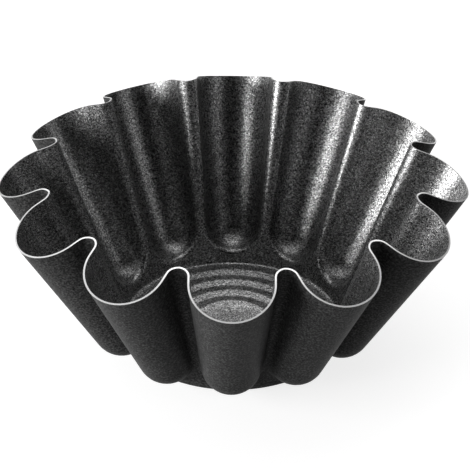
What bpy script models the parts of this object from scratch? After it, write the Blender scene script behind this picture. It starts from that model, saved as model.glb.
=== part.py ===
"""A fluted pudding mould pressed from one steel sheet, standing on its base. Metres, +Z up.

The cavity is a steep central cone with twelve ball-ended channels sunk in its wall, all edges rounded.
The sheet follows the cavity and keeps one thickness, and its rim dips towards the tip of each flute."""

import math

import bpy
import numpy as np

MM = 0.001

# Sizes, in millimetres. Heights are measured up from the inside of the base.
FLUTES = 12
SHEET = 0.8
RIM_TIP_RADIUS = 109.3  # inside of the sheet, at the tip of a flute
RIM_CREST_RADIUS = 86.6  # inside of the sheet, on the ridge between two flutes
RIM_CREST_HEIGHT = 88.0
RIM_DIP = 11.0  # how far the flute tips lie below the ridge crests
RIM_DIP_POWER = 1.33
RIM_CHANNEL_RADIUS = 18.5
TOE_RADIUS = 13.2  # the ball at the lower end of each channel
TOE_CENTRE_HEIGHT = 18.7
TOE_INSET = 0.77  # how far the centre of that ball lies inside the wall of the central cone
EDGE_ROUND_TOP = 4.5  # rounding of the ridges at the rim
EDGE_ROUND_TOE = 2.3  # rounding of the channel edges round the toes
WALL_FOOT_RADIUS = 53.4  # where the central cone would meet the base
FOOT_FILLET = 1.6
FOOT_RING_WIDTH = 1.0  # flat ring that the mould stands on
CENTRE_DISC_RADIUS = 14.6  # flat disc in the middle of the base
RING_COUNT = 4
RING_HEIGHT = 0.65
RING_VALLEY_LIFT = 0.05  # keeps the grooves between the rings clear of the table

# How finely the surface is divided.
ARC_STEPS = 5  # from the tip of a flute to the start of its ridge
RIDGE_STEPS = 4  # from there to the crest of the ridge
ARC_REACH = math.radians(80.0)  # how far round the channel its own columns go
MOUTH_SHARE = 0.72  # the same round the mouth of the toe, as a share
MOUTH_CREST_HEIGHT = 9.5  # where the ridge's crest column ends its way down
BALL_STEPS = 4
ROUND_STEPS = 2
FLOOR_STEPS = 48


def cone_slope():
    """How much the radius of the central cone grows with height."""
    return (RIM_CREST_RADIUS - WALL_FOOT_RADIUS) / RIM_CREST_HEIGHT


def wall_radius(height):
    return WALL_FOOT_RADIUS + cone_slope() * height


def channel_ends():
    """(radius, height) of the centre of the toe ball, and of the channel's ball at the rim."""
    toe = np.array([wall_radius(TOE_CENTRE_HEIGHT) - TOE_INSET, TOE_CENTRE_HEIGHT])
    tip = np.array([RIM_TIP_RADIUS, RIM_CREST_HEIGHT - RIM_DIP])
    top = tip.copy()
    for _ in range(30):
        axis = top - toe
        length = math.hypot(axis[0], axis[1])
        spread = math.asin((RIM_CHANNEL_RADIUS - TOE_RADIUS) / length)
        lean = math.atan2(axis[0], axis[1]) + spread
        outward = np.array([math.cos(lean), -math.sin(lean)])
        top = tip - RIM_CHANNEL_RADIUS * outward
    return toe, top, outward


def cone_distance(points):
    """Distance from the wall of the central cone, positive inside the cavity."""
    slope = cone_slope()
    radius = np.hypot(points[:, 0], points[:, 1])
    return (wall_radius(points[:, 2]) - radius) / math.hypot(1.0, slope)


def channel_distance(points, turn):
    """Distance from the wall of the channel that lies at this angle, positive inside it.

    The channel is round on the outside, and its two sides run straight in towards the cavity."""
    toe, top, _ = channel_ends()
    along = points[:, 0] * math.cos(turn) + points[:, 1] * math.sin(turn)
    across = points[:, 1] * math.cos(turn) - points[:, 0] * math.sin(turn)
    axis = top - toe
    length = math.hypot(axis[0], axis[1])
    axis = axis / length
    local_r = along - toe[0]
    local_z = points[:, 2] - toe[1]
    up = local_r * axis[0] + local_z * axis[1]
    outward = local_r * axis[1] - local_z * axis[0]
    side = np.hypot(np.maximum(outward, 0.0), across)
    sine = (RIM_CHANNEL_RADIUS - TOE_RADIUS) / length
    cosine = math.sqrt(1.0 - sine * sine)
    on_cone = up * cosine + side * sine > 0.0
    cone = TOE_RADIUS - (side * cosine - up * sine)
    ball = TOE_RADIUS - np.hypot(side, up)
    return np.where(on_cone, cone, ball)


def edge_round(height):
    share = np.clip((height - TOE_CENTRE_HEIGHT) / (RIM_CREST_HEIGHT - TOE_CENTRE_HEIGHT), 0.0, 1.0)
    return EDGE_ROUND_TOE + (EDGE_ROUND_TOP - EDGE_ROUND_TOE) * share


def sheet_field(points):
    """Zero on the inner face of the sheet, negative in the metal. The edges are rounded."""
    half_turn = math.pi / FLUTES
    turn = np.round(np.arctan2(points[:, 1], points[:, 0]) / (2 * half_turn)) * 2 * half_turn
    local = points.copy()
    local[:, 0] = points[:, 0] * np.cos(turn) + points[:, 1] * np.sin(turn)
    local[:, 1] = np.abs(points[:, 1] * np.cos(turn) - points[:, 0] * np.sin(turn))
    rounding = edge_round(points[:, 2])
    fields = [
        cone_distance(local),
        channel_distance(local, 0.0),
        channel_distance(local, 2 * half_turn),
    ]
    near = sum(np.maximum(rounding + field, 0.0) ** 2 for field in fields)
    return np.minimum(-rounding, np.maximum.reduce(fields)) + np.sqrt(near)


def settle(points, rounds=12):
    """Moves points on to the inner face of the sheet, along the gradient of its field."""
    step = 1e-3
    for _ in range(rounds):
        value = sheet_field(points)
        gradient = np.zeros_like(points)
        for axis in range(3):
            shifted = points.copy()
            shifted[:, axis] += step
            gradient[:, axis] = (sheet_field(shifted) - value) / step
        size = np.maximum((gradient**2).sum(axis=1), 1e-6)
        points = points - 0.9 * (value / size)[:, None] * gradient
    return points


def rim_height(radius):
    share = np.clip((radius - RIM_CREST_RADIUS) / (RIM_TIP_RADIUS - RIM_CREST_RADIUS), 0.0, 1.0)
    return RIM_CREST_HEIGHT - RIM_DIP * share**RIM_DIP_POWER


def channel_frame():
    """Unit vectors of a channel in the plane y = 0: its axis, and the normal that points out of the mould."""
    toe, top, _ = channel_ends()
    axis = (top - toe) / math.hypot(*(top - toe))
    return np.array([axis[0], 0.0, axis[1]]), np.array([axis[1], 0.0, -axis[0]])


def channel_columns():
    """Angles round the channel, from its deepest line to where the ridge takes over."""
    return np.linspace(0.0, ARC_REACH, ARC_STEPS + 1)


def with_ridge(arc, crest):
    """The columns of half a flute: those of the channel, then those that lead to the crest of the ridge."""
    shares = np.linspace(0.0, 1.0, RIDGE_STEPS + 1)[1:, None]
    return np.vstack([arc, arc[-1] + shares * (crest - arc[-1])])


def crest_point(height):
    turn = math.pi / FLUTES
    radius = wall_radius(height)
    return np.array([radius * math.cos(turn), radius * math.sin(turn), height])


def keep_crest(points):
    """Puts the last point back on the line half way between two flutes."""
    turn = math.pi / FLUTES
    along = points[-1, 0] * math.cos(turn) + points[-1, 1] * math.sin(turn)
    points[-1, :2] = along * math.cos(turn), along * math.sin(turn)
    return points


def toe_starts():
    """Unit vectors from the centre of the toe ball to where the ball runs into the channel above it."""
    toe, top, _ = channel_ends()
    axis, out = channel_frame()
    sine = (RIM_CHANNEL_RADIUS - TOE_RADIUS) / math.hypot(*(top - toe))
    cosine = math.sqrt(1.0 - sine * sine)
    side = np.array([0.0, 1.0, 0.0])
    turns = channel_columns()[:, None]
    return cosine * (np.cos(turns) * out + np.sin(turns) * side) - sine * axis


def wall_frame():
    """Unit vectors of the cone's wall in the plane y = 0: down the wall, and out of the mould."""
    slope = cone_slope()
    length = math.hypot(1.0, slope)
    return np.array([-slope, 0.0, -1.0]) / length, np.array([1.0, 0.0, -slope]) / length


def toe_centre():
    toe, _, _ = channel_ends()
    return np.array([toe[0], 0.0, toe[1]])


def toe_row():
    """Where the ball meets the channel above it."""
    arc = toe_centre() + TOE_RADIUS * toe_starts()
    return settle(with_ridge(arc, crest_point(TOE_CENTRE_HEIGHT + 1.0)))


def rim_row():
    """The rim of half a flute, found by running up the channel from its toe."""
    toe, top, _ = channel_ends()
    axis, _ = channel_frame()
    sine = (RIM_CHANNEL_RADIUS - TOE_RADIUS) / math.hypot(*(top - toe))
    cosine = math.sqrt(1.0 - sine * sine)
    starts = toe_starts()
    spread = (starts + sine * axis) / cosine
    rays = cosine * axis + sine * spread
    arc = toe_centre() + TOE_RADIUS * starts
    for _ in range(20):
        gap = rim_height(np.hypot(arc[:, 0], arc[:, 1])) - arc[:, 2]
        arc = arc + rays * gap[:, None] * 0.8
    row = with_ridge(arc, crest_point(RIM_CREST_HEIGHT))
    for _ in range(12):
        row = keep_crest(settle(row, 3))
        row[:, 2] = rim_height(np.hypot(row[:, 0], row[:, 1]))
    return row


def mouth_directions():
    """Unit vectors, in the plane of the wall, from the centre of the toe ball to its mouth."""
    down, _ = wall_frame()
    turns = channel_columns()[:, None] * MOUTH_SHARE
    return np.cos(turns) * down + np.sin(turns) * np.array([0.0, 1.0, 0.0])


def crest_height(share):
    """How far down the ridge its crest column has come, part of the way round the toe."""
    return TOE_CENTRE_HEIGHT + 1.0 + (MOUTH_CREST_HEIGHT - TOE_CENTRE_HEIGHT - 1.0) * share


def ball_rows():
    """The underside of the toe, from the channel round to where the rounded edge starts."""
    starts = toe_starts()
    ends = mouth_directions()
    angle = np.arccos(np.clip((starts * ends).sum(axis=1), -1.0, 1.0))[:, None]
    lead = math.asin(EDGE_ROUND_TOE / (TOE_RADIUS + EDGE_ROUND_TOE))
    rows = []
    for step in range(1, BALL_STEPS + 1):
        share = step / BALL_STEPS * (1.0 - lead / angle)
        arc = (np.sin((1.0 - share) * angle) * starts + np.sin(share * angle) * ends) / np.sin(angle)
        crest = crest_point(crest_height(step / (BALL_STEPS + ROUND_STEPS)))
        rows.append(with_ridge(toe_centre() + TOE_RADIUS * arc, crest))
    return rows


def edge_rows():
    """The rounded edge between a toe and the wall of the central cone."""
    _, out = wall_frame()
    ends = mouth_directions()
    reach = math.sqrt((TOE_RADIUS + EDGE_ROUND_TOE) ** 2 - EDGE_ROUND_TOE**2)
    centres = toe_centre() + reach * ends + EDGE_ROUND_TOE * out
    sweep = math.acos(EDGE_ROUND_TOE / (TOE_RADIUS + EDGE_ROUND_TOE))
    rows = []
    for step in range(1, ROUND_STEPS + 1):
        angle = sweep * (1.0 - step / ROUND_STEPS)
        arc = centres - EDGE_ROUND_TOE * (math.cos(angle) * out + math.sin(angle) * ends)
        crest = crest_point(crest_height((BALL_STEPS + step) / (BALL_STEPS + ROUND_STEPS)))
        rows.append(with_ridge(arc, crest))
    return rows


def foot_rows():
    """The wall below the toes and the fillet that leads it on to the base: rings about the axis."""
    lean = math.atan2(1.0, cone_slope())
    flat_radius = WALL_FOOT_RADIUS - FOOT_FILLET * math.tan(lean / 2.0)
    rows = []
    for share in (1.0, 0.5, 0.0):
        angle = lean * share
        radius = flat_radius + FOOT_FILLET * math.sin(angle)
        rows.append((radius, FOOT_FILLET * (1.0 - math.cos(angle))))
    return rows


def base_rings():
    """(radius, height) of each edge of the ringed base, from the foot ring in to the centre disc."""
    outer = foot_rows()[-1][0] - FOOT_RING_WIDTH
    edges = np.linspace(outer, CENTRE_DISC_RADIUS, 2 * RING_COUNT + 1)
    heights = [RING_HEIGHT if index % 2 else RING_VALLEY_LIFT for index in range(len(edges))]
    heights[0] = 0.0
    heights[-1] = 0.0
    return list(zip(edges, heights))


def whole_turn(half):
    """All flutes' points from those of half a flute, the front flute pointing to -Y."""
    mirrored = half[:0:-1] * np.array([1.0, -1.0, 1.0])
    flute = np.vstack([mirrored, half])[1:]
    turned = []
    for index in range(FLUTES):
        angle = 2.0 * math.pi * index / FLUTES - math.pi / 2.0
        cosine, sine = math.cos(angle), math.sin(angle)
        x = flute[:, 0] * cosine - flute[:, 1] * sine
        y = flute[:, 0] * sine + flute[:, 1] * cosine
        turned.append(np.column_stack([x, y, flute[:, 2]]))
    return np.vstack(turned)


def circle(radius, height, angles):
    return np.column_stack([radius * np.cos(angles), radius * np.sin(angles), np.full(len(angles), height)])


def wall_rows():
    """Every row of the wall from the rim down to the flat of the base, all round the mould."""
    rim = rim_row()
    toe = keep_crest(toe_row())
    halves = [rim, settle((rim + toe) / 2.0), toe]
    halves += [keep_crest(settle(row)) for row in ball_rows() + edge_rows()]
    rows = [whole_turn(half) for half in halves]
    angles = np.arctan2(rows[-1][:, 1], rows[-1][:, 0])
    rows += [circle(radius, height, angles) for radius, height in foot_rows()]
    return rows


def ring_faces(faces, outer, inner, count):
    for index in range(count):
        after = (index + 1) % count
        faces.append((outer + index, outer + after, inner + after, inner + index))


def stitch(faces, outer, outer_angles, inner, inner_count):
    """Joins a ring of many points to one of few, each to the nearest in angle."""
    count = len(outer_angles)
    step = 2.0 * math.pi / inner_count
    nearest = [round((angle + math.pi / 2.0) / step) for angle in outer_angles]
    for index in range(count):
        after = (index + 1) % count
        a = nearest[index] % inner_count
        b = nearest[after] % inner_count
        faces.append((outer + index, outer + after, inner + a))
        if a != b:
            faces.append((inner + a, outer + after, inner + b))


def inner_face():
    """Points of the inside of the sheet and its faces, which look into the cavity."""
    rows = wall_rows()
    count = len(rows[0])
    faces = []
    for index in range(len(rows) - 1):
        ring_faces(faces, index * count, (index + 1) * count, count)
    points = list(rows)
    start = len(rows) * count
    angles = -math.pi / 2.0 + 2.0 * math.pi * np.arange(FLOOR_STEPS) / FLOOR_STEPS
    rings = base_rings()
    points += [circle(radius, height, angles) for radius, height in rings]
    last = rows[-1]
    stitch(faces, start - count, np.arctan2(last[:, 1], last[:, 0]), start, FLOOR_STEPS)
    for index in range(len(rings) - 1):
        ring_faces(faces, start + index * FLOOR_STEPS, start + (index + 1) * FLOOR_STEPS, FLOOR_STEPS)
    edge = start + (len(rings) - 1) * FLOOR_STEPS
    faces.append(tuple(edge + index for index in range(FLOOR_STEPS)))
    return np.vstack(points), faces


def plain_material(name, colour, roughness, metallic):
    material = bpy.data.materials.new(name)
    material.use_nodes = True
    shader = material.node_tree.nodes["Principled BSDF"]
    shader.inputs["Base Color"].default_value = (*colour, 1.0)
    shader.inputs["Roughness"].default_value = roughness
    shader.inputs["Metallic"].default_value = metallic
    return material


def finishes():
    """The coat inside the mould, the coat outside it, and the bare steel of its cut edge."""
    return (
        plain_material("inner_coat", (0.02, 0.02, 0.02), 0.35, 0.0),
        plain_material("outer_coat", (0.045, 0.045, 0.047), 0.6, 0.0),
        plain_material("cut_edge", (0.7, 0.7, 0.7), 0.3, 1.0),
    )


def mould_body(collection):
    """The pressed sheet: its inner face, thickened outwards to the sheet's thickness."""
    points, faces = inner_face()
    mesh = bpy.data.meshes.new("mould_body")
    mesh.from_pydata(((points + np.array([0.0, 0.0, SHEET])) * MM).tolist(), [], faces)
    mesh.shade_smooth()
    mesh.set_sharp_from_angle(angle=math.radians(40.0))
    for finish in finishes():
        mesh.materials.append(finish)
    body = bpy.data.objects.new("mould_body", mesh)
    collection.objects.link(body)
    sheet = body.modifiers.new("sheet", "SOLIDIFY")
    sheet.thickness = SHEET * MM
    sheet.offset = -1.0
    sheet.use_even_offset = True
    sheet.use_quality_normals = True
    sheet.material_offset = 1
    sheet.material_offset_rim = 2


def main():
    for old in list(bpy.data.objects):
        bpy.data.objects.remove(old)
    collection = bpy.data.collections.new("fluted_mould")
    bpy.context.scene.collection.children.link(collection)
    mould_body(collection)


main()
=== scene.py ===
"""A fluted pudding mould of coated pressed steel, dressed and lit like its product photograph."""

import math

import bmesh
import bpy
from mathutils import Matrix, Vector


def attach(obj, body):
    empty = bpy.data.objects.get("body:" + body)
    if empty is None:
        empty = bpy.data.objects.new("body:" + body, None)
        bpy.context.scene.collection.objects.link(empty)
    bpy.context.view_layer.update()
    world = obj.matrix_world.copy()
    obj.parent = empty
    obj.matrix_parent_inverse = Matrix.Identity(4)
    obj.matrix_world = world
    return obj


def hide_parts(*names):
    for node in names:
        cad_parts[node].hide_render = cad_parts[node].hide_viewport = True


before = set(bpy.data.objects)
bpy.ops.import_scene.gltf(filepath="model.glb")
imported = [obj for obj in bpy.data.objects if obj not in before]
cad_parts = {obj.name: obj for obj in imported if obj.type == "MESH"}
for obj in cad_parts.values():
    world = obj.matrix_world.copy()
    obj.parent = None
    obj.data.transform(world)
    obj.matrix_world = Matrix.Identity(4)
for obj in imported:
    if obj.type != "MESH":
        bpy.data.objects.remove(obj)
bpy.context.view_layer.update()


# The mould body. A disc of thin steel, pressed to a cone with twelve ball-ended flutes and a base
# stiffened by four raised rings, then trimmed so that the flute tips lie lower than the ridges.
# It is one sheet of one thickness: a speckled coat inside, a matte one outside and a bare rim.

MM = 0.001


class Wire:
    """A socket of a node tree. Arithmetic on it adds Math nodes, and node() adds any other."""

    def __init__(self, tree, socket=None):
        self.tree = tree
        self.socket = socket

    def node(self, kind, settings=None, inputs=None, out=0):
        """Adds a node, sets its properties and then its sockets, and gives one of its outputs."""
        made = self.tree.nodes.new(kind)
        for name, value in (settings or {}).items():
            if name == "stops":
                while len(made.color_ramp.elements) < len(value):
                    made.color_ramp.elements.new(1.0)
                for element, (place, colour) in zip(made.color_ramp.elements, value):
                    element.position = place
                    element.color = colour
            else:
                setattr(made, name, value)
        for name, value in (inputs or {}).items():
            if isinstance(value, Wire):
                self.tree.links.new(value.socket, made.inputs[name])
            else:
                made.inputs[name].default_value = value
        return Wire(self.tree, made.outputs[out])

    def math(self, operation, *others):
        inputs = dict(enumerate((self, *others)))
        return self.node("ShaderNodeMath", {"operation": operation}, inputs)

    def vector(self, x, y, z):
        return self.node("ShaderNodeCombineXYZ", None, {0: x, 1: y, 2: z})

    def split(self):
        parts = self.node("ShaderNodeSeparateXYZ", None, {0: self})
        return [Wire(self.tree, socket) for socket in parts.socket.node.outputs]

    def clamped(self):
        return self.math("MAXIMUM", 0.0).math("MINIMUM", 1.0)

    def past(self, limit):
        return self.math("GREATER_THAN", limit)

    def __add__(self, other):
        return self.math("ADD", other)

    def __radd__(self, other):
        return self.math("ADD", other)

    def __sub__(self, other):
        return self.math("SUBTRACT", other)

    def __rsub__(self, other):
        return self.math("MULTIPLY_ADD", -1.0, other)

    def __mul__(self, other):
        return self.math("MULTIPLY", other)

    def __rmul__(self, other):
        return self.math("MULTIPLY", other)

    def __truediv__(self, other):
        return self.math("DIVIDE", other)

    def __rtruediv__(self, other):
        return self.math("POWER", -1.0).math("MULTIPLY", other)

    def __pow__(self, other):
        return self.math("POWER", other)

    def __neg__(self):
        return self.math("MULTIPLY", -1.0)


def blend(low, high, share):
    """The value part of the way from one to the other."""
    return low + (high - low) * share


def summed(*vectors):
    return [sum(parts[1:], parts[0]) for parts in zip(*vectors)]


def scaled(vector, factor):
    return [part * factor for part in vector]


# The sizes are in millimetres, with heights above the inside of the base. A flute widens from the
# ball of its toe to its head, the round that passes through the tip of the rim.
CAVITY_SIZES = {
    "Flutes": 12.0,
    "Rim crest radius": 86.6,
    "Rim crest height": 88.0,
    "Wall foot radius": 53.4,
    "Toe centre radius": 59.685,
    "Toe centre height": 18.7,
    "Toe radius": 13.2,
    "Head centre radius": 93.355,
    "Head centre height": 86.381,
    "Head radius": 18.5,
    "Toe edge rounding": 2.3,
    "Rim edge rounding": 4.5,
}
SHEET_SIZES = {
    "Rim tip radius": 109.3,
    "Rim dip": 11.0,
    "Rim dip power": 1.33,
    "Foot fillet": 1.6,
    "Foot ring width": 1.0,
    "Centre disc radius": 14.6,
    "Rings": 4.0,
    "Ring height": 0.7,
    "Ring softness": 0.12,
    "Sheet": 0.8,
}
ALL_SIZES = {**CAVITY_SIZES, **SHEET_SIZES}


def opened_tree(name, sizes, **others):
    """A new geometry tree with these named inputs, and a wire from each of them."""
    tree = bpy.data.node_groups.new(name, "GeometryNodeTree")
    for label, kind in others.items():
        tree.interface.new_socket(label, in_out="INPUT", socket_type=kind)
    for label, value in sizes.items():
        socket = tree.interface.new_socket(label, in_out="INPUT", socket_type="NodeSocketFloat")
        socket.default_value = value
    entry = tree.nodes.new("NodeGroupInput")
    return tree, {socket.name: Wire(tree, socket) for socket in entry.outputs if socket.name}


def closed_tree(tree, name, kind, result):
    """The same tree with this result as its one output."""
    tree.interface.new_socket(name, in_out="OUTPUT", socket_type=kind)
    tree.links.new(result.socket, tree.nodes.new("NodeGroupOutput").inputs[0])
    return tree


def channel_axis(size):
    """The direction of a flute's axis from its toe to its head, and how the flute widens."""
    along_r = size["Head centre radius"] - size["Toe centre radius"]
    along_z = size["Head centre height"] - size["Toe centre height"]
    length = (along_r * along_r + along_z * along_z) ** 0.5
    flare = (size["Head radius"] - size["Toe radius"]) / length
    return along_r / length, along_z / length, flare, (1.0 - flare * flare) ** 0.5


def wall_slope(size):
    """How far the cone spreads with each unit of height, and the length of its slanted side."""
    slope = (size["Rim crest radius"] - size["Wall foot radius"]) / size["Rim crest height"]
    return slope, (slope * slope + 1.0) ** 0.5


def cavity_depth():
    """How deep a place lies in the cavity, a cone joined with its nearest flutes by rounded edges.
    It is nought on the wall and negative outside."""
    tree, size = opened_tree("cavity depth", CAVITY_SIZES, Place="NodeSocketVector")
    x, y, z = size["Place"].split()
    step = 2.0 * math.pi / size["Flutes"]
    turn = (y.math("ARCTAN2", x) / step).math("ROUND") * step
    turn_cosine = turn.math("COSINE")
    turn_sine = turn.math("SINE")
    along = x * turn_cosine + y * turn_sine
    across = (y * turn_cosine - x * turn_sine).math("ABSOLUTE")
    slope, slant = wall_slope(size)
    cone = (size["Wall foot radius"] + slope * z - (x * x + y * y) ** 0.5) / slant
    axis_r, axis_z, flare, narrow = channel_axis(size)

    def flute(near, beside):
        away = near - size["Toe centre radius"]
        rise = z - size["Toe centre height"]
        up = away * axis_r + rise * axis_z
        off = (away * axis_z - rise * axis_r).math("MAXIMUM", 0.0)
        side = (off * off + beside * beside) ** 0.5
        ball = (side * side + up * up) ** 0.5
        straight = side * narrow - up * flare
        return size["Toe radius"] - blend(ball, straight, (up * narrow + side * flare).past(0.0))

    cosine = step.math("COSINE")
    sine = step.math("SINE")
    next_flute = flute(along * cosine + across * sine, across * cosine - along * sine)
    walls = (cone, flute(along, across), next_flute)
    toe_height = size["Toe centre height"]
    share = ((z - toe_height) / (size["Rim crest height"] - toe_height)).clamped()
    rounding = blend(size["Toe edge rounding"], size["Rim edge rounding"], share)
    near = [(wall + rounding).math("MAXIMUM", 0.0) for wall in walls]
    deepest = walls[0].math("MAXIMUM", walls[1]).math("MAXIMUM", walls[2])
    result = (-rounding).math("MINIMUM", deepest) + sum(part * part for part in near) ** 0.5
    return closed_tree(tree, "Depth", "NodeSocketFloat", result)


# The mesh: columns in each flute, and rows in each zone from the rim to the middle of the base.
COLUMNS = 48
ROWS = {
    "wall": 20, "ball": 12, "edge": 8, "skirt": 3, "foot": 4, "flat": 1, "rings": 24, "disc": 2,
}
CAP_UPRIGHT = 0.9
ARC_SHARE = 0.625
ARC_REACH = math.radians(80.0)
RIM_TRIES = 3
RIDGE_FOOT_RISE = 1.0
MOUTH_SHARE = 0.72
MOUTH_CREST_HEIGHT = 9.5
RING_PARTS = 3.0
RINGS_END = 0.9999
DISC_REACH = 0.9
SETTLING = 36
EVENING = 28
SETTLING_SHARE = 0.9
LEAST_STEEPNESS = 0.01
PROBE = 0.02


def pressed_sheet():
    """The inner face of the sheet. A tube's points are laid out along the flutes, down the wall
    and across the base, and those of the wall are then settled on the cavity and the rim line."""
    tree, size = opened_tree("pressed sheet", ALL_SIZES, Coat="NodeSocketMaterial")
    start = Wire(tree)
    rows = sum(ROWS.values())
    columns = size["Flutes"] * COLUMNS
    columns = columns.node("FunctionNodeFloatToInt", None, {0: columns})
    tube = start.node(
        "GeometryNodeMeshCylinder", {"fill_type": "NGON"},
        {"Vertices": columns, "Side Segments": rows, "Radius": 1.0, "Depth": 1.0},
    )
    x, y, z = start.node("GeometryNodeInputPosition").split()
    cap = start.node("GeometryNodeInputNormal").split()[2].past(CAP_UPRIGHT)
    faces_only = {"domain": "FACE", "mode": "ONLY_FACE"}
    tube = start.node("GeometryNodeDeleteGeometry", faces_only, {0: tube, 1: cap})

    step = 2.0 * math.pi / size["Flutes"]
    angle = y.math("ARCTAN2", x)
    turn = (angle / step).math("ROUND") * step
    offset = (angle - turn) / step * 2.0
    column = offset.math("ABSOLUTE").math("MINIMUM", 1.0)
    row = ((0.5 - z) * float(rows)).math("ROUND")
    first = {}
    share = {}
    passed = 0
    for zone, length in ROWS.items():
        first[zone] = passed
        share[zone] = ((row - float(passed)) / float(length)).clamped()
        passed += length

    arc = (column / ARC_SHARE).math("MINIMUM", 1.0) * ARC_REACH
    ridge = ((column - ARC_SHARE) / (1.0 - ARC_SHARE)).clamped()
    cosine = arc.math("COSINE")
    sine = arc.math("SINE")
    slope, slant = wall_slope(size)
    down = [slope / -slant, 0.0, -1.0 / slant]
    out = [1.0 / slant, 0.0, slope / -slant]
    axis_r, axis_z, flare, narrow = channel_axis(size)
    toe = [size["Toe centre radius"], 0.0, size["Toe centre height"]]

    def crest(height):
        radius = size["Wall foot radius"] + slope * height
        half_step = step * 0.5
        return [radius * half_step.math("COSINE"), radius * half_step.math("SINE"), height]

    def with_ridge(point, top):
        return [blend(low, high, ridge) for low, high in zip(point, top)]

    # The flute and the ridge beside it, from the rim down to the toe.
    begin = [
        narrow * cosine * axis_z - flare * axis_r,
        narrow * sine,
        -(narrow * cosine * axis_r + flare * axis_z),
    ]
    ray = [
        narrow * axis_r + flare * cosine * axis_z,
        flare * sine,
        narrow * axis_z - flare * cosine * axis_r,
    ]
    equator = summed(toe, scaled(begin, size["Toe radius"]))

    def rim_height(radius):
        spread = size["Rim tip radius"] - size["Rim crest radius"]
        dip = ((radius - size["Rim crest radius"]) / spread).clamped() ** size["Rim dip power"]
        return size["Rim crest height"] - size["Rim dip"] * dip

    reach = (size["Rim crest height"] - size["Rim dip"] * 0.5 - equator[2]) / ray[2]
    for _ in range(RIM_TRIES):
        tip = summed(equator, scaled(ray, reach))
        reach = (rim_height((tip[0] * tip[0] + tip[1] * tip[1]) ** 0.5) - equator[2]) / ray[2]
    ridge_foot = size["Toe centre height"] + RIDGE_FOOT_RISE
    wall = with_ridge(
        summed(equator, scaled(ray, reach * (1.0 - share["wall"]))),
        crest(blend(size["Rim crest height"], ridge_foot, share["wall"])),
    )

    # Round the ball of the toe, then over the rounded edge of its mouth.
    mouth = arc * MOUTH_SHARE
    end = [mouth.math("COSINE") * down[0], mouth.math("SINE"), mouth.math("COSINE") * down[2]]
    rounding = size["Toe edge rounding"]
    outer = size["Toe radius"] + rounding
    swing = (begin[0] * end[0] + begin[1] * end[1] + begin[2] * end[2]).math("ARCCOSINE")
    gone = share["ball"] * (1.0 - (rounding / outer).math("ARCSINE") / swing)
    ball_way = summed(
        scaled(begin, ((1.0 - gone) * swing).math("SINE") / swing.math("SINE")),
        scaled(end, (gone * swing).math("SINE") / swing.math("SINE")),
    )
    ball = summed(toe, scaled(ball_way, size["Toe radius"]))
    sweep = (rounding / outer).math("ARCCOSINE") * (1.0 - share["edge"])
    roll = (outer * outer - rounding * rounding) ** 0.5 - rounding * sweep.math("SINE")
    edge = summed(toe, scaled(end, roll), scaled(out, rounding * (1.0 - sweep.math("COSINE"))))
    rows_down = share["ball"] * float(ROWS["ball"]) + share["edge"] * float(ROWS["edge"])
    bend = rows_down / (ROWS["ball"] + ROWS["edge"])
    side_crest = crest(blend(ridge_foot, MOUTH_CREST_HEIGHT, bend))
    ball = with_ridge(ball, side_crest)
    edge = with_ridge(edge, side_crest)

    # Down the short wall below the toes and round the foot.
    lean = (1.0 / slope).math("ARCTANGENT")
    flat_radius = size["Wall foot radius"] - size["Foot fillet"] * (lean * 0.5).math("TANGENT")
    tilt = lean * (1.0 - share["foot"])
    foot_radius = flat_radius + size["Foot fillet"] * tilt.math("SINE")
    foot_height = size["Foot fillet"] * (1.0 - tilt.math("COSINE"))

    # Across the base. A third of each ring's rows lie on its rounded top, its flank and its foot.
    ring_edge = flat_radius - size["Foot ring width"]
    phase = (share["rings"] * size["Rings"]).math("FRACT") * 2.0 - 1.0
    soft = size["Ring softness"]
    flank = ((phase.math("ABSOLUTE") - 1.0 / RING_PARTS) * RING_PARTS).clamped()
    wave = phase.math("ABSOLUTE") * soft * RING_PARTS + flank * (1.0 - soft * RING_PARTS)
    rings_passed = (share["rings"] * size["Rings"]).math("FLOOR")
    ring_way = (rings_passed + 0.5 + wave * phase.math("SIGN") * 0.5) / size["Rings"]
    to_peak = (soft - wave).math("MAXIMUM", 0.0)
    to_valley = (wave - (1.0 - soft)).math("MAXIMUM", 0.0)
    rise = 1.0 - wave - to_peak * to_peak / (soft * 2.0) + to_valley * to_valley / (soft * 2.0)
    ring_rise = rise * size["Ring height"] * share["rings"].past(0.0)
    ring_rise = ring_rise * (1.0 - share["rings"].past(RINGS_END))
    base_radius = blend(foot_radius, ring_edge, share["flat"])
    base_radius = blend(base_radius, size["Centre disc radius"], ring_way)
    base_radius = base_radius * (1.0 - share["disc"] * DISC_REACH)
    edge_radius = (edge[0] * edge[0] + edge[1] * edge[1]) ** 0.5
    edge_turn = edge[1].math("ARCTAN2", edge[0])
    past_skirt = row.past(first["foot"] + 0.5)
    low_radius = blend(blend(edge_radius, foot_radius, share["skirt"]), base_radius, past_skirt)
    skirt_height = blend(edge[2], foot_height, share["skirt"])
    low_height = blend(skirt_height, foot_height + ring_rise, past_skirt)
    low = [
        low_radius * edge_turn.math("COSINE"), low_radius * edge_turn.math("SINE"), low_height,
    ]

    laid = wall
    for zone, points in (("ball", ball), ("edge", edge), ("skirt", low)):
        reached = row.past(first[zone] + 0.5)
        laid = [blend(old, new, reached) for old, new in zip(laid, points)]
    aside = laid[1] * offset.math("SIGN")
    place = start.vector(
        laid[0] * turn.math("COSINE") - aside * turn.math("SINE"),
        laid[0] * turn.math("SINE") + aside * turn.math("COSINE"),
        laid[2],
    )
    tube = start.node(
        "GeometryNodeStoreNamedAttribute", {"data_type": "FLOAT", "domain": "POINT"},
        {"Geometry": tube, "Name": "row", "Value": row},
    )
    tube = start.node("GeometryNodeSetPosition", None, {"Geometry": tube, "Position": place})

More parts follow.
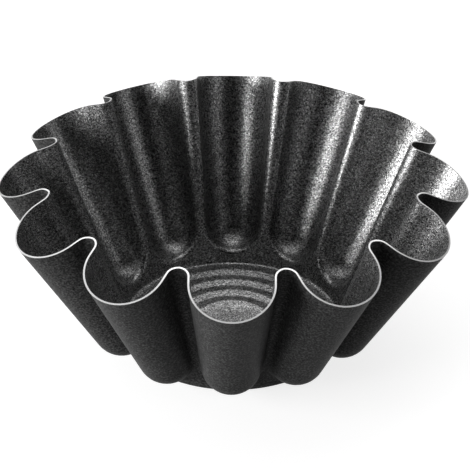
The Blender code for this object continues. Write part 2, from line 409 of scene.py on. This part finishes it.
    # Each early pass evens out the wall's points. Every pass moves them along the slope of the
    # depth to where it is nought, then puts the rim back on its line.
    opening = tree.nodes.new("GeometryNodeRepeatInput")
    closing = tree.nodes.new("GeometryNodeRepeatOutput")
    opening.pair_with_output(closing)
    opening.inputs["Iterations"].default_value = SETTLING
    tree.links.new(tube.socket, opening.inputs["Geometry"])
    row_kind = {"data_type": "FLOAT"}
    own_row = start.node("GeometryNodeInputNamedAttribute", row_kind, {"Name": "row"})
    here = start.node("GeometryNodeInputPosition")
    depth_tree = cavity_depth()

    def depth(*shift):
        moved = here.node("ShaderNodeVectorMath", {"operation": "ADD"}, {0: here, 1: shift})
        sizes = {label: size[label] for label in CAVITY_SIZES}
        group = {"node_tree": depth_tree}
        return here.node("GeometryNodeGroup", group, {"Place": moved, **sizes})

    wall_rows = own_row.math("LESS_THAN", first["foot"] - 0.5)
    early = Wire(tree, opening.outputs["Iteration"]).math("LESS_THAN", float(EVENING))
    even = here.node("GeometryNodeBlurAttribute", {"data_type": "FLOAT_VECTOR"}, {"Value": here})
    settled = Wire(tree, opening.outputs["Geometry"])
    settled = start.node(
        "GeometryNodeSetPosition", None,
        {"Geometry": settled, "Selection": wall_rows * early, "Position": even},
    )
    value = depth(0.0, 0.0, 0.0)
    probes = ((PROBE, 0.0, 0.0), (0.0, PROBE, 0.0), (0.0, 0.0, PROBE))
    fall = [(depth(*shift) - value) / PROBE for shift in probes]
    steepness = sum(part * part for part in fall).math("MAXIMUM", LEAST_STEEPNESS)
    move = start.vector(*scaled(fall, value / steepness * -SETTLING_SHARE))
    settled = start.node(
        "GeometryNodeSetPosition", None,
        {"Geometry": settled, "Selection": wall_rows, "Offset": move},
    )
    x, y, _ = start.node("GeometryNodeInputPosition").split()
    rim_line = start.vector(x, y, rim_height((x * x + y * y) ** 0.5))
    settled = start.node(
        "GeometryNodeSetPosition", None,
        {"Geometry": settled, "Selection": own_row.math("LESS_THAN", 0.5), "Position": rim_line},
    )
    tree.links.new(settled.socket, closing.inputs["Geometry"])

    x, y, z = start.node("GeometryNodeInputPosition").split()
    metres = start.vector(x * MM, y * MM, (z + size["Sheet"]) * MM)
    sheet = Wire(tree, closing.outputs["Geometry"])
    sheet = start.node("GeometryNodeSetPosition", None, {"Geometry": sheet, "Position": metres})
    sheet = start.node("GeometryNodeFlipFaces", None, {0: sheet})
    sheet = start.node("GeometryNodeSetShadeSmooth", None, {"Geometry": sheet})
    sheet = start.node("GeometryNodeRealizeInstances", None, {0: sheet})
    coated = {"Geometry": sheet, "Material": size["Coat"]}
    sheet = start.node("GeometryNodeSetMaterial", None, coated)
    return closed_tree(tree, "Geometry", "NodeSocketGeometry", sheet)


def finish(name):
    """A new material: its shader, and its object coordinates to hang nodes on."""
    material = bpy.data.materials.new(name)
    material.use_nodes = True
    shader = material.node_tree.nodes["Principled BSDF"]
    place = Wire(material.node_tree).node("ShaderNodeTexCoord", out="Object")
    return material, shader, place


def plug(shader, name, wire):
    wire.tree.links.new(wire.socket, shader.inputs[name])


def grey(level):
    return (level, level, level, 1.0)


def greys(*stops):
    """A ramp's stops: each a place on the ramp and a grey level."""
    return {"stops": [(place, grey(level)) for place, level in stops]}


def clouds(place, scale, detail):
    """Noise with about this many clouds to the metre."""
    inputs = {"Vector": place, "Scale": scale, "Detail": detail}
    return place.node("ShaderNodeTexNoise", None, inputs)


def bumped(shader, height, strength, distance):
    inputs = {"Strength": strength, "Distance": distance, "Height": height}
    plug(shader, "Normal", height.node("ShaderNodeBump", None, inputs))


INNER_METALLIC = 0.8
GRAINS_TO_METRE = 2300.0
PEBBLES_TO_METRE = 1900.0
PEBBLE_HEIGHT = 0.00009


def inner_coat():
    """Non-stick coat with a metallic, half-glossy face: dark grey, pebbled by the fine grains
    baked into it."""
    material, shader, place = finish("inner_coat")
    shader.inputs["Metallic"].default_value = INNER_METALLIC
    cells = {"Vector": place, "Scale": GRAINS_TO_METRE}
    grain = place.node("ShaderNodeTexVoronoi", {"feature": "F1"}, cells, out="Color").split()[0]
    cloud = clouds(place, scale=60.0, detail=3.0)
    lightness = greys((0.0, 0.03), (0.5, 0.18), (0.85, 0.37), (1.0, 0.7))
    plug(shader, "Base Color", place.node("ShaderNodeValToRGB", lightness, {"Fac": grain}))
    plug(shader, "Roughness", 0.23 + cloud * 0.05 + grain * 0.08)
    pebbles = clouds(place, scale=PEBBLES_TO_METRE, detail=2.0)
    bumped(shader, pebbles, strength=1.0, distance=PEBBLE_HEIGHT)
    return material


OUTER_SPECULAR = 0.03
OUTER_GRAIN_TO_METRE = 1100.0
OUTER_GRAIN_HEIGHT = 0.00015


def outer_coat():
    """Matte charcoal coat over the outside of the steel."""
    material, shader, place = finish("outer_coat")
    shader.inputs["Specular IOR Level"].default_value = OUTER_SPECULAR
    cloud = clouds(place, scale=45.0, detail=4.0)
    grain = clouds(place, scale=OUTER_GRAIN_TO_METRE, detail=3.0)
    lightness = greys((0.3, 0.006), (0.5, 0.031), (0.7, 0.085))
    plug(shader, "Base Color", place.node("ShaderNodeValToRGB", lightness, {"Fac": grain}))
    plug(shader, "Roughness", 0.4 + cloud * 0.1 + grain * 0.1)
    bumped(shader, grain, strength=0.35, distance=OUTER_GRAIN_HEIGHT)
    return material


# A colour Mix node has its colours in these sockets, and its result in the last.
MIX_SHARE, MIX_LOW, MIX_HIGH, MIXED = 0, 6, 7, 2


def cut_edge():
    """Bare steel where the rim was trimmed."""
    material, shader, place = finish("cut_edge")
    shader.inputs["Metallic"].default_value = 1.0
    wear = clouds(place, scale=300.0, detail=3.0)
    levels = {MIX_SHARE: wear, MIX_LOW: grey(0.85), MIX_HIGH: grey(1.0)}
    colour = place.node("ShaderNodeMix", {"data_type": "RGBA"}, levels, out=MIXED)
    plug(shader, "Base Color", colour)
    plug(shader, "Roughness", 0.3 + wear * 0.15)
    return material


def evaluated_mesh(thing):
    """The thing's mesh with its modifiers applied."""
    bpy.context.view_layer.update()
    depsgraph = bpy.context.evaluated_depsgraph_get()
    return bpy.data.meshes.new_from_object(thing.evaluated_get(depsgraph))


inside = inner_coat()
maker = bpy.data.objects.new("mould_maker", bpy.data.meshes.new("mould_maker"))
bpy.context.scene.collection.objects.link(maker)
press = maker.modifiers.new("press", "NODES")
press.node_group = pressed_sheet()
press_values = {**ALL_SIZES, "Coat": inside}
for item in press.node_group.interface.items_tree:
    if item.item_type == "SOCKET" and item.in_out == "INPUT":
        press[item.identifier] = press_values[item.name]
shape = evaluated_mesh(maker)
bpy.data.objects.remove(maker)
shape.attributes.remove(shape.attributes["row"])
shape.materials.clear()
INSIDE, OUTSIDE, EDGE = range(3)
for coat in (inside, outer_coat(), cut_edge()):
    shape.materials.append(coat)
shape.polygons.foreach_set("material_index", [INSIDE] * len(shape.polygons))

# The sheet gets its thickness, and its cut edge meets the coats at a sharp corner.
mould = bpy.data.objects.new("pressed_mould", shape)
bpy.context.scene.collection.objects.link(mould)
wall = mould.modifiers.new("sheet", "SOLIDIFY")
wall.thickness = SHEET_SIZES["Sheet"] * MM
wall.offset = -1.0
wall.use_even_offset = True
wall.use_quality_normals = True
wall.material_offset = OUTSIDE - INSIDE
wall.material_offset_rim = EDGE - INSIDE
solid = evaluated_mesh(mould)
mould.modifiers.remove(wall)
mould.data = solid
trimmed = bmesh.new()
trimmed.from_mesh(solid)
for side in trimmed.edges:
    side.smooth = len({face.material_index for face in side.link_faces}) == 1
trimmed.to_mesh(solid)
trimmed.free()
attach(mould, "root")
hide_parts("mould_body")


# The table and the light. A pale table, a soft lamp low on the left, and a white studio that
# glows most from high behind the mould, and less from the sides and the front.

TABLE_SIZE = 6.0
half = TABLE_SIZE / 2
table_corners = [(-half, -half, 0), (half, -half, 0), (half, half, 0), (-half, half, 0)]
table_mesh = bpy.data.meshes.new("table")
table_mesh.from_pydata(table_corners, [], [(0, 1, 2, 3)])
table = bpy.data.objects.new("table", table_mesh)
bpy.context.scene.collection.objects.link(table)
PAPER_LEVEL = 0.45
PAPER_ROUGHNESS = 0.9
PAPER_GLOW = 0.8
paper, paper_shader, paper_place = finish("paper")
paper_shader.inputs["Base Color"].default_value = grey(PAPER_LEVEL)
paper_shader.inputs["Roughness"].default_value = PAPER_ROUGHNESS
paper_shader.inputs["Emission Color"].default_value = grey(1.0)
rays = paper_place.node("ShaderNodeLightPath")
path = {socket.name: Wire(rays.tree, socket) for socket in rays.socket.node.outputs}
shown = (path["Is Camera Ray"] + path["Is Glossy Ray"] + path["Is Transmission Ray"]).clamped()
plug(paper_shader, "Emission Strength", shown * PAPER_GLOW)
table_mesh.materials.append(paper)

KEY_PLACE = (-1.07, -0.48, 0.25)
KEY_SIZE = (0.88, 0.60)
KEY_RADIANCE = 12.5
key = bpy.data.lights.new("soft_lamp", "AREA")
key.shape = "RECTANGLE"
key.size, key.size_y = KEY_SIZE
key.energy = KEY_RADIANCE * math.pi * KEY_SIZE[0] * KEY_SIZE[1]
soft_lamp = bpy.data.objects.new("soft_lamp", key)
soft_lamp.location = KEY_PLACE
soft_lamp.rotation_euler = Vector(KEY_PLACE).to_track_quat("Z", "Y").to_euler()
bpy.context.scene.collection.objects.link(soft_lamp)

# Each glow of the studio: the bearing and the height of its middle in degrees, its strength there,
# and how tightly it is gathered. Straight behind the mould is 0, and its right is 90.
GLOWS = (
    (-75.0, 5.0, 1.15, 8.6),
    (-6.0, 55.0, 2.3, 7.0),
    (-153.5, -1.5, 3.2, 38.0),
    (115.5, 25.0, 1.6, 50.0),
)
world = bpy.data.worlds.new("studio")
world.use_nodes = True
bpy.context.scene.world = world
sky = world.node_tree.nodes["Background"]
x, y, z = Wire(world.node_tree).node("ShaderNodeTexCoord", out="Generated").split()
glow = 0.0
for bearing, height, strength, tightness in GLOWS:
    level = math.cos(math.radians(height))
    east = math.sin(math.radians(bearing)) * level
    north = math.cos(math.radians(bearing)) * level
    up = math.sin(math.radians(height))
    closeness = x * east + y * north + z * up - 1.0
    glow = glow + (closeness * tightness).math("EXPONENT") * strength
plug(sky, "Strength", glow)
sky.inputs["Color"].default_value = grey(1.0)


# The camera, above and in front of the mould, from a little over a metre away.

CAMERA_DISTANCE = 1.0645
CAMERA_TILT = math.radians(32.685)
CAMERA_ROLL = math.radians(0.58)
CAMERA_AIM = (0.00104, 0.0, 0.05182)
FOCAL_PIXELS = 2247.5
FRAME_PIXELS = 470
SENSOR = 36.0
camera = bpy.data.objects.new("camera", bpy.data.cameras.new("camera"))
camera.data.sensor_width = SENSOR
camera.data.lens = FOCAL_PIXELS / FRAME_PIXELS * SENSOR
place = (
    CAMERA_AIM[0],
    CAMERA_AIM[1] - CAMERA_DISTANCE * math.cos(CAMERA_TILT),
    CAMERA_AIM[2] + CAMERA_DISTANCE * math.sin(CAMERA_TILT),
)
camera.matrix_world = (
    Matrix.Translation(place)
    @ Matrix.Rotation(math.pi / 2 - CAMERA_TILT, 4, "X")
    @ Matrix.Rotation(CAMERA_ROLL, 4, "Z")
)
bpy.context.scene.collection.objects.link(camera)
bpy.context.scene.camera = camera
bpy.context.scene.view_settings.view_transform = "Standard"
